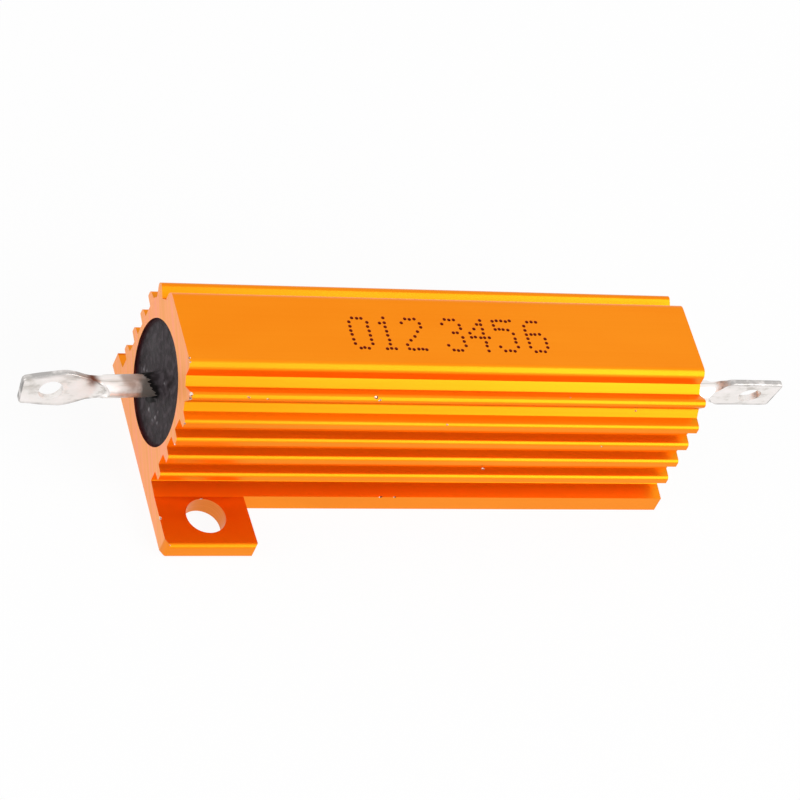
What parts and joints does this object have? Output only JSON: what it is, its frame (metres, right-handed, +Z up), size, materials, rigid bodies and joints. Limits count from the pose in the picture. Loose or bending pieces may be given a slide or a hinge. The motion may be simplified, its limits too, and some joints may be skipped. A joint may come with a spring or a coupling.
{
  "type": "power resistor",
  "caption": "Wirewound power resistor in a finned, gold-anodised aluminium housing with diagonal mounting ears and a drilled solder lug at each end.",
  "frame": {"origin": "middle of the flat mounting face", "axes": "+X along the housing and both terminals, +Z up from the mounting face; one ear is at -X -Y, the other at +X +Y"},
  "size_m": [0.0744, 0.0266, 0.0157],
  "materials": {
    "anodised_housing": "satin gold-orange anodised, sawn ends",
    "sealing_compound": "rough cast",
    "tinned_lead": "bright tinned",
    "filler": "cast, matte",
    "core_ceramic": "matte",
    "cap_steel": "drawn",
    "resistance_wire": "bright drawn"
  },
  "bodies": {
    "root": {"housing": "anodised_housing", "end_seal_left": "sealing_compound", "end_seal_right": "sealing_compound", "terminal_left": "tinned_lead", "terminal_right": "tinned_lead", "filler": "filler", "ceramic_core": "core_ceramic", "end_cap_left": "cap_steel", "end_cap_right": "cap_steel", "resistance_winding": "resistance_wire"}
  },
  "joints": []
}
